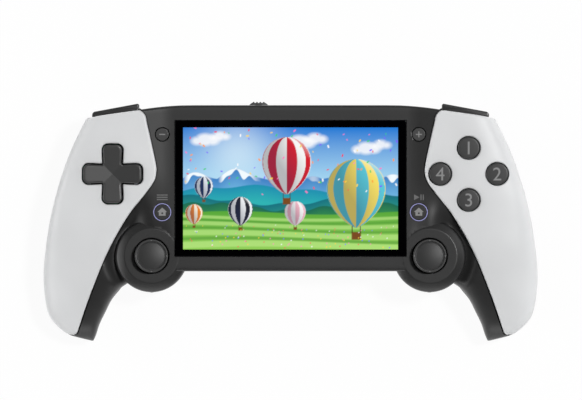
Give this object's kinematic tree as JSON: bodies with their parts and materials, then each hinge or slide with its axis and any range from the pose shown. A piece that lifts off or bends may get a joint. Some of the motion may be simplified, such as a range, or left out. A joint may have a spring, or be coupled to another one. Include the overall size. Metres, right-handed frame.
{
  "type": "handheld game console",
  "caption": "Handheld game console: a wide screen between rounded grips, with thumb sticks, a direction pad, round buttons, shoulder bumpers and triggers.",
  "frame": {"origin": "on the table, under the middle of the console lying on its back", "axes": "+X to the right of a person looking at the screen, +Y to the top edge, +Z out of the screen"},
  "size_m": [0.219, 0.1058, 0.0371],
  "materials": {
    "dark_shell": "satin, fine grain",
    "bumper_plastic": "satin",
    "white_wing": "soft gloss",
    "lens": "polished, black edge print",
    "tape": "matte",
    "display": "polished",
    "sheet_steel": "brushed",
    "ribbon": "satin",
    "board": "satin",
    "battery_foil": "satin",
    "black_plastic": "matte",
    "switch_steel": "satin",
    "screw_steel": "bright",
    "silicone": "matte",
    "button_plastic": "satin",
    "light_ring": "milky",
    "stick_rubber": "matte",
    "stick_inner": "satin",
    "stick_shaft": "satin"
  },
  "bodies": {
    "console": {"front_shell": "dark_shell", "rear_shell": "dark_shell", "left_wing": "white_wing", "right_wing": "white_wing", "screen_lens": "lens", "lens_tape": "tape", "display_panel": "display", "display_tray": "sheet_steel", "display_ribbon": "ribbon", "main_board": "board", "left_button_board": "board", "right_button_board": "board", "battery": "battery_foil", "left_speaker": "black_plastic", "right_speaker": "black_plastic", "charging_port": "sheet_steel", "headphone_jack": "black_plastic", "card_slot": "sheet_steel", "power_switch": "black_plastic", "tact_switches": "switch_steel", "shell_screws": "screw_steel", "board_screws": "screw_steel", "pad_membrane": "silicone", "face_membrane": "silicone", "left_home_ring": "light_ring", "right_home_ring": "light_ring", "shoulder_pins": "screw_steel", "left_stick_base": "black_plastic", "right_stick_base": "black_plastic"},
    "power_slider": {"power_slider": "button_plastic"},
    "pad_carrier": {"pad_carrier": "black_plastic"},
    "pad_cap": {"pad_cap": "button_plastic"},
    "top_button": {"top_button": "button_plastic"},
    "right_button": {"right_button": "button_plastic"},
    "bottom_button": {"bottom_button": "button_plastic"},
    "left_button": {"left_button": "button_plastic"},
    "plus_button": {"plus_button": "button_plastic"},
    "minus_button": {"minus_button": "button_plastic"},
    "left_home_button": {"left_home_button": "button_plastic"},
    "right_home_button": {"right_home_button": "button_plastic"},
    "left_bumper": {"left_bumper": "bumper_plastic"},
    "right_bumper": {"right_bumper": "bumper_plastic"},
    "left_trigger": {"left_trigger": "bumper_plastic"},
    "right_trigger": {"right_trigger": "bumper_plastic"},
    "left_stick_rocker": {"left_stick_rocker": "stick_inner"},
    "left_stick_arm": {"left_stick_arm": "stick_inner"},
    "left_stick_shaft": {"left_stick_shaft": "stick_shaft"},
    "left_stick_cap": {"left_stick_cap": "stick_rubber"},
    "right_stick_rocker": {"right_stick_rocker": "stick_inner"},
    "right_stick_arm": {"right_stick_arm": "stick_inner"},
    "right_stick_shaft": {"right_stick_shaft": "stick_shaft"},
    "right_stick_cap": {"right_stick_cap": "stick_rubber"}
  },
  "joints": [
    {"name": "top_button_press", "type": "slide", "parent": "console", "child": "top_button", "axis": [0, 0, 1], "range_m": [-0.0012, 0], "stiffness_N_per_m": 300, "deforming": ["face_membrane"]},
    {"name": "right_button_press", "type": "slide", "parent": "console", "child": "right_button", "axis": [0, 0, 1], "range_m": [-0.0012, 0], "stiffness_N_per_m": 300, "deforming": ["face_membrane"]},
    {"name": "bottom_button_press", "type": "slide", "parent": "console", "child": "bottom_button", "axis": [0, 0, 1], "range_m": [-0.0012, 0], "stiffness_N_per_m": 300, "deforming": ["face_membrane"]},
    {"name": "left_button_press", "type": "slide", "parent": "console", "child": "left_button", "axis": [0, 0, 1], "range_m": [-0.0012, 0], "stiffness_N_per_m": 300, "deforming": ["face_membrane"]},
    {"name": "plus_press", "type": "slide", "parent": "console", "child": "plus_button", "axis": [0, 0, 1], "range_m": [-0.0003, 0], "stiffness_N_per_m": 900},
    {"name": "minus_press", "type": "slide", "parent": "console", "child": "minus_button", "axis": [0, 0, 1], "range_m": [-0.0003, 0], "stiffness_N_per_m": 900},
    {"name": "left_home_press", "type": "slide", "parent": "console", "child": "left_home_button", "axis": [0, 0, 1], "range_m": [-0.0003, 0], "stiffness_N_per_m": 900},
    {"name": "right_home_press", "type": "slide", "parent": "console", "child": "right_home_button", "axis": [0, 0, 1], "range_m": [-0.0003, 0], "stiffness_N_per_m": 900},
    {"name": "pad_tilt_up_down", "type": "hinge", "parent": "console", "child": "pad_carrier", "pos_m": [-0.0787, 0.021, 0.0278], "axis": [1, 0, 0], "range_deg": [-4, 4], "stiffness_Nm_per_rad": 0.08, "deforming": ["pad_membrane"]},
    {"name": "pad_tilt_left_right", "type": "hinge", "parent": "pad_carrier", "child": "pad_cap", "pos_m": [-0.0787, 0.021, 0.029], "axis": [0, 1, 0], "range_deg": [-4, 4], "stiffness_Nm_per_rad": 0.08, "deforming": ["pad_membrane"]},
    {"name": "left_bumper_press", "type": "hinge", "parent": "console", "child": "left_bumper", "pos_m": [-0.06898, 0.04589, 0.024], "axis": [0, 0, 1], "range_deg": [0, 3], "stiffness_Nm_per_rad": 0.3},
    {"name": "left_trigger_pull", "type": "hinge", "parent": "console", "child": "left_trigger", "pos_m": [-0.07664, 0.04548, 0.0174], "axis": [0.9833, 0.1822, 0], "range_deg": [-12, 0], "stiffness_Nm_per_rad": 0.15},
    {"name": "right_bumper_press", "type": "hinge", "parent": "console", "child": "right_bumper", "pos_m": [0.06898, 0.04589, 0.024], "axis": [0, 0, 1], "range_deg": [-3, 0], "stiffness_Nm_per_rad": 0.3},
    {"name": "right_trigger_pull", "type": "hinge", "parent": "console", "child": "right_trigger", "pos_m": [0.07664, 0.04548, 0.0174], "axis": [0.9833, -0.1822, 0], "range_deg": [-12, 0], "stiffness_Nm_per_rad": 0.15},
    {"name": "power_slide", "type": "slide", "parent": "console", "child": "power_slider", "axis": [1, 0, 0], "range_m": [0, 0.002]},
    {"name": "left_stick_up_down", "type": "hinge", "parent": "console", "child": "left_stick_rocker", "pos_m": [-0.0615, -0.0152, 0.023], "axis": [1, 0, 0], "range_deg": [-12, 12], "stiffness_Nm_per_rad": 0.05},
    {"name": "left_stick_left_right", "type": "hinge", "parent": "left_stick_rocker", "child": "left_stick_shaft", "pos_m": [-0.0615, -0.0152, 0.023], "axis": [0, 1, 0], "range_deg": [-12, 12], "stiffness_Nm_per_rad": 0.05},
    {"name": "left_stick_click", "type": "slide", "parent": "left_stick_shaft", "child": "left_stick_cap", "axis": [0, 0, 1], "range_m": [-0.00035, 0], "stiffness_N_per_m": 900},
    {"name": "left_stick_arm_turn", "type": "hinge", "parent": "console", "child": "left_stick_arm", "pos_m": [-0.0615, -0.0152, 0.023], "axis": [0, 1, 0], "range_deg": [-12, 12]},
    {"name": "right_stick_up_down", "type": "hinge", "parent": "console", "child": "right_stick_rocker", "pos_m": [0.0615, -0.0152, 0.023], "axis": [1, 0, 0], "range_deg": [-12, 12], "stiffness_Nm_per_rad": 0.05},
    {"name": "right_stick_left_right", "type": "hinge", "parent": "right_stick_rocker", "child": "right_stick_shaft", "pos_m": [0.0615, -0.0152, 0.023], "axis": [0, 1, 0], "range_deg": [-12, 12], "stiffness_Nm_per_rad": 0.05},
    {"name": "right_stick_click", "type": "slide", "parent": "right_stick_shaft", "child": "right_stick_cap", "axis": [0, 0, 1], "range_m": [-0.00035, 0], "stiffness_N_per_m": 900},
    {"name": "right_stick_arm_turn", "type": "hinge", "parent": "console", "child": "right_stick_arm", "pos_m": [0.0615, -0.0152, 0.023], "axis": [0, 1, 0], "range_deg": [-12, 12]}
  ],
  "couplings": [
    {"joint": "left_stick_arm_turn", "follows": "left_stick_left_right", "ratio": 1},
    {"joint": "right_stick_arm_turn", "follows": "right_stick_left_right", "ratio": 1}
  ]
}
